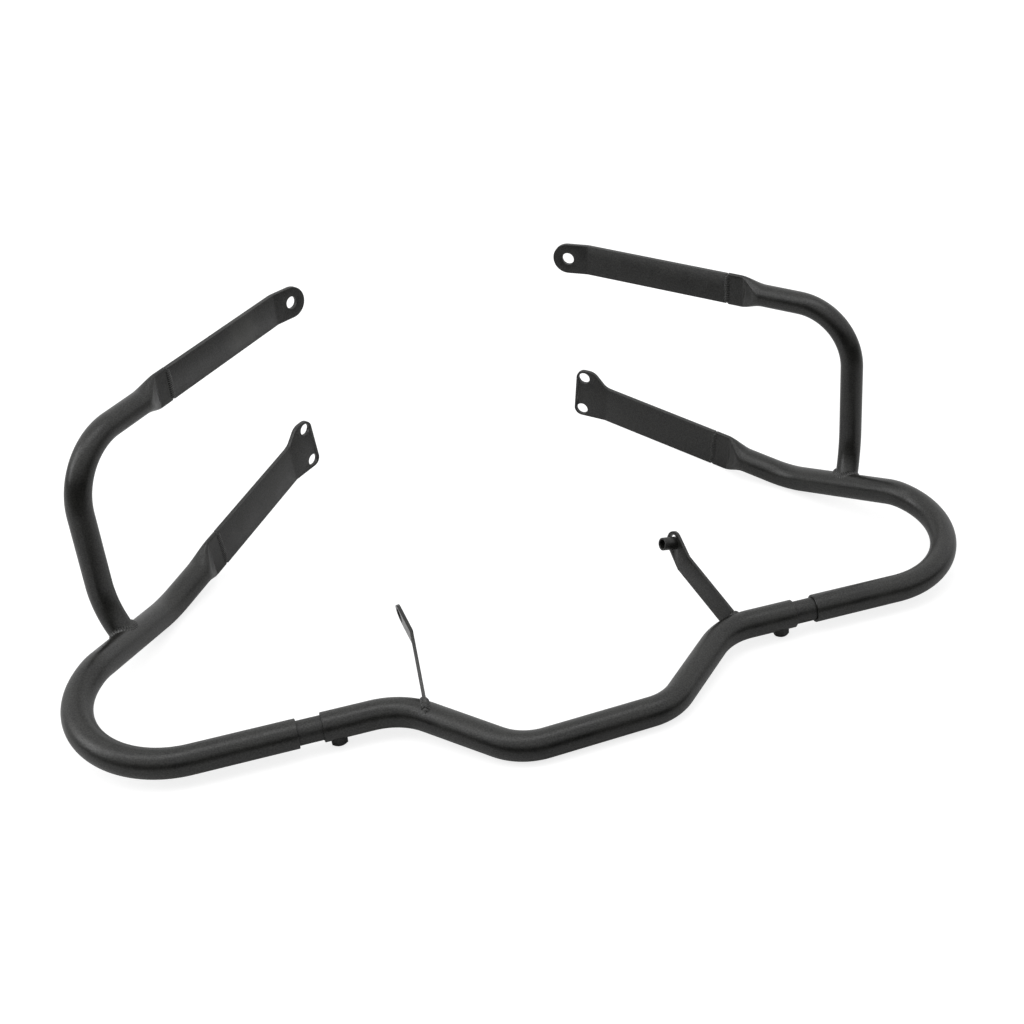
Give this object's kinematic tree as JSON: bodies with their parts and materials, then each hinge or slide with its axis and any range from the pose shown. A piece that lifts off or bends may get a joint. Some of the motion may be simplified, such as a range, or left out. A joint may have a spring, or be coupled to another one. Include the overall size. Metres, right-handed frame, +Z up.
{
  "type": "motorcycle crash bars",
  "caption": "Black tubular crash bars: two looped side guards on a bent centre tube, with flattened ends, drilled straps and hanger tabs.",
  "frame": {"origin": "middle of the bounding box at the floor it lies on, in the mirror plane", "axes": "+X to the right side, along the longest extent; +Y to the back, towards the drilled strap ends; +Z up from the floor it lies on"},
  "size_m": [0.8176, 0.553, 0.2324],
  "materials": {
    "coated_tube": "satin black powder coat",
    "coated_flat_bar": "satin black powder coat",
    "coated_weld": "satin black powder coat over a weld bead",
    "coated_sleeve": "satin black",
    "blackened_bolt": "blackened steel",
    "coated_bush": "satin black"
  },
  "bodies": {
    "root": {"left_loop_tube": "coated_tube", "right_loop_tube": "coated_tube", "left_upper_tube": "coated_tube", "right_upper_tube": "coated_tube", "centre_tube": "coated_tube", "left_sleeve": "coated_sleeve", "right_sleeve": "coated_sleeve", "left_clamp_bolt": "blackened_bolt", "right_clamp_bolt": "blackened_bolt", "left_upper_strap": "coated_flat_bar", "right_upper_strap": "coated_flat_bar", "left_lower_strap": "coated_flat_bar", "right_lower_strap": "coated_flat_bar", "left_tab": "coated_flat_bar", "right_tab": "coated_flat_bar", "tab_bush": "coated_bush", "left_branch_weld": "coated_weld", "right_branch_weld": "coated_weld", "left_upper_strap_weld": "coated_weld", "right_upper_strap_weld": "coated_weld", "left_lower_strap_weld": "coated_weld", "right_lower_strap_weld": "coated_weld", "left_tab_weld": "coated_weld", "right_tab_weld": "coated_weld"}
  },
  "joints": []
}
